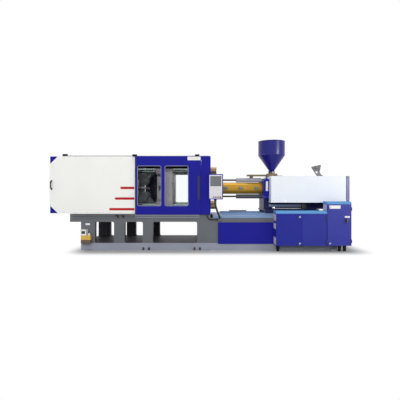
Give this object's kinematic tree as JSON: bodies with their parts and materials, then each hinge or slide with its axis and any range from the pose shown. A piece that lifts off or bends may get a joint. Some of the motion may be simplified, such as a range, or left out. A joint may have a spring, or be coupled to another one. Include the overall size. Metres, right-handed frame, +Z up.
{
  "type": "horizontal injection moulding machine",
  "caption": "Horizontal toggle-clamp injection moulding machine with guarded mould space, sliding gates, barrel and hopper on a sliding injection unit, and a control cabinet.",
  "frame": {"origin": "on the floor, under the machine axis, 130 mm behind the fixed platen's mould face", "axes": "+X along the machine to the injection end, +Y to the rear side, +Z up"},
  "size_m": [7.566, 2.04, 2.847],
  "materials": {
    "blue_paint": "smooth satin paint",
    "white_paint": "smooth satin paint",
    "bed_paint": "structured paint",
    "pale_blue_paint": "satin paint",
    "platen_paint": "painted casting with machined faces",
    "cylinder_paint": "satin paint",
    "cast_link": "machined casting",
    "chrome_bar": "hard chrome",
    "bright_steel": "ground",
    "dark_steel": "dark metallic",
    "bronze": "machined",
    "gold_sheet": "satin",
    "black_plastic": "matte",
    "white_plastic": "matte",
    "amber_plastic": "translucent look",
    "bezel_plastic": "matte",
    "red_plastic": "gloss",
    "cable_rubber": "matte",
    "pane": "clear polycarbonate",
    "screen_glass": "glossy screen"
  },
  "bodies": {
    "machine": {"bed_frame": "bed_paint", "service_panels": "blue_paint", "injection_table": "pale_blue_paint", "pump_motor": "blue_paint", "fixed_platen": "platen_paint", "tie_bars": "chrome_bar", "tie_bar_nuts": "bronze", "tail_platen": "platen_paint", "clamp_cylinder": "bed_paint", "clamp_guards": "white_paint", "end_cover": "blue_paint", "guard_handles": "black_plastic", "gate_rails": "bright_steel", "fixed_guards": "blue_paint", "hmi_housing": "blue_paint", "hmi_bezel": "bezel_plastic", "hmi_screen": "screen_glass", "carriage_rods": "chrome_bar", "cabinet": "blue_paint", "cabinet_caps": "pale_blue_paint", "lube_pump": "white_plastic", "lube_reservoir": "amber_plastic", "drag_chain": "black_plastic", "hmi_conduit": "cable_rubber", "guard_lead": "cable_rubber"},
    "moving_platen": {"moving_platen": "platen_paint", "ejector_cylinder": "bed_paint"},
    "ejector": {"ejector_plate": "bright_steel"},
    "rear_link_upper": {"rear_link_upper": "cast_link"},
    "rear_link_lower": {"rear_link_lower": "cast_link"},
    "front_link_upper": {"front_link_upper": "cast_link"},
    "front_link_lower": {"front_link_lower": "cast_link"},
    "crosshead": {"crosshead": "cast_link"},
    "crosshead_link_upper": {"crosshead_link_upper": "cast_link"},
    "crosshead_link_lower": {"crosshead_link_lower": "cast_link"},
    "operator_gate": {"operator_gate": "blue_paint", "gate_windows": "pane", "gate_handle": "black_plastic"},
    "rear_gate": {"rear_gate": "blue_paint", "rear_gate_windows": "pane"},
    "injection_unit": {"injection_housing": "blue_paint", "barrel": "bright_steel", "barrel_cover": "gold_sheet", "carriage_cylinders": "cylinder_paint", "injection_cylinders": "cylinder_paint", "injection_cover": "white_paint", "cover_fittings": "dark_steel", "hopper_base": "bronze"},
    "screw_drive": {"drive_plate": "platen_paint"},
    "screw": {"screw": "bright_steel"},
    "hopper": {"hopper_slider": "bronze", "hopper": "blue_paint"},
    "door_left": {"door_left": "blue_paint"},
    "door_middle": {"door_middle": "blue_paint"},
    "door_right": {"door_right": "blue_paint"},
    "main_switch": {"main_switch": "black_plastic"},
    "button_left": {"button_left": "black_plastic"},
    "button_middle": {"button_middle": "black_plastic"},
    "button_right": {"button_right": "black_plastic"},
    "emergency_stop": {"emergency_stop": "red_plastic"}
  },
  "joints": [
    {"name": "clamp_slide", "type": "slide", "parent": "machine", "child": "moving_platen", "axis": [1, 0, 0], "range_m": [-0.195, 0.321]},
    {"name": "ejector_slide", "type": "slide", "parent": "moving_platen", "child": "ejector", "axis": [1, 0, 0], "range_m": [0, 0.15]},
    {"name": "rear_link_upper_turn", "type": "hinge", "parent": "machine", "child": "rear_link_upper", "pos_m": [-1.705, 0, 2.075], "axis": [0, 1, 0], "range_deg": [-31, 19]},
    {"name": "front_link_upper_turn", "type": "hinge", "parent": "moving_platen", "child": "front_link_upper", "pos_m": [-1.33, 0, 2.075], "axis": [0, -1, 0], "range_deg": [-31, 19]},
    {"name": "crosshead_link_upper_turn", "type": "hinge", "parent": "crosshead", "child": "crosshead_link_upper", "pos_m": [-1.62766, 0, 1.815], "axis": [0, 1, 0], "range_deg": [-14.5, 9]},
    {"name": "rear_link_lower_turn", "type": "hinge", "parent": "machine", "child": "rear_link_lower", "pos_m": [-1.705, 0, 1.035], "axis": [0, -1, 0], "range_deg": [-31, 19]},
    {"name": "front_link_lower_turn", "type": "hinge", "parent": "moving_platen", "child": "front_link_lower", "pos_m": [-1.33, 0, 1.035], "axis": [0, 1, 0], "range_deg": [-31, 19]},
    {"name": "crosshead_link_lower_turn", "type": "hinge", "parent": "crosshead", "child": "crosshead_link_lower", "pos_m": [-1.62766, 0, 1.295], "axis": [0, -1, 0], "range_deg": [-14.5, 9]},
    {"name": "crosshead_slide", "type": "slide", "parent": "machine", "child": "crosshead", "axis": [1, 0, 0], "range_m": [-0.071, 0.116]},
    {"name": "operator_gate_slide", "type": "slide", "parent": "machine", "child": "operator_gate", "axis": [-1, 0, 0], "range_m": [0, 1.6]},
    {"name": "rear_gate_slide", "type": "slide", "parent": "machine", "child": "rear_gate", "axis": [-1, 0, 0], "range_m": [0, 1.6]},
    {"name": "carriage_slide", "type": "slide", "parent": "machine", "child": "injection_unit", "axis": [1, 0, 0], "range_m": [-0.12, 0.3]},
    {"name": "injection_slide", "type": "slide", "parent": "injection_unit", "child": "screw_drive", "axis": [1, 0, 0], "range_m": [0, 0.25]},
    {"name": "screw_turn", "type": "hinge", "parent": "screw_drive", "child": "screw", "pos_m": [1, 0, 1.555], "axis": [1, 0, 0], "continuous": true},
    {"name": "hopper_slide", "type": "slide", "parent": "injection_unit", "child": "hopper", "axis": [-1, 0, 0], "range_m": [0, 0.42]},
    {"name": "door_left_swing", "type": "hinge", "parent": "machine", "child": "door_left", "pos_m": [1.806, -1.11, 0.5], "axis": [0, 0, -1], "range_deg": [0, 110]},
    {"name": "door_middle_swing", "type": "hinge", "parent": "machine", "child": "door_middle", "pos_m": [3.022, -1.11, 0.5], "axis": [0, 0, 1], "range_deg": [0, 110]},
    {"name": "door_right_swing", "type": "hinge", "parent": "machine", "child": "door_right", "pos_m": [3.616, -1.11, 0.6], "axis": [0, 0, 1], "range_deg": [0, 110]},
    {"name": "main_switch_turn", "type": "hinge", "parent": "door_right", "child": "main_switch", "pos_m": [3.494, -1.1, 0.76], "axis": [0, 1, 0], "range_deg": [0, 90]},
    {"name": "button_left_press", "type": "slide", "parent": "machine", "child": "button_left", "axis": [0, 1, 0], "range_m": [0, 0.006], "stiffness_N_per_m": 800},
    {"name": "button_middle_press", "type": "slide", "parent": "machine", "child": "button_middle", "axis": [0, 1, 0], "range_m": [0, 0.006], "stiffness_N_per_m": 800},
    {"name": "button_right_press", "type": "slide", "parent": "machine", "child": "button_right", "axis": [0, 1, 0], "range_m": [0, 0.006], "stiffness_N_per_m": 800},
    {"name": "emergency_stop_press", "type": "slide", "parent": "machine", "child": "emergency_stop", "axis": [0, 1, 0], "range_m": [0, 0.006], "stiffness_N_per_m": 800}
  ],
  "couplings": [
    {"joint": "crosshead_slide", "follows": "clamp_slide", "ratio": 0.35514},
    {"joint": "rear_link_upper_turn", "follows": "clamp_slide", "rad_per_m": -1.6311},
    {"joint": "front_link_upper_turn", "follows": "clamp_slide", "rad_per_m": -1.6311},
    {"joint": "crosshead_link_upper_turn", "follows": "clamp_slide", "rad_per_m": -0.75033},
    {"joint": "rear_link_lower_turn", "follows": "clamp_slide", "rad_per_m": -1.6311},
    {"joint": "front_link_lower_turn", "follows": "clamp_slide", "rad_per_m": -1.6311},
    {"joint": "crosshead_link_lower_turn", "follows": "clamp_slide", "rad_per_m": -0.75033}
  ]
}
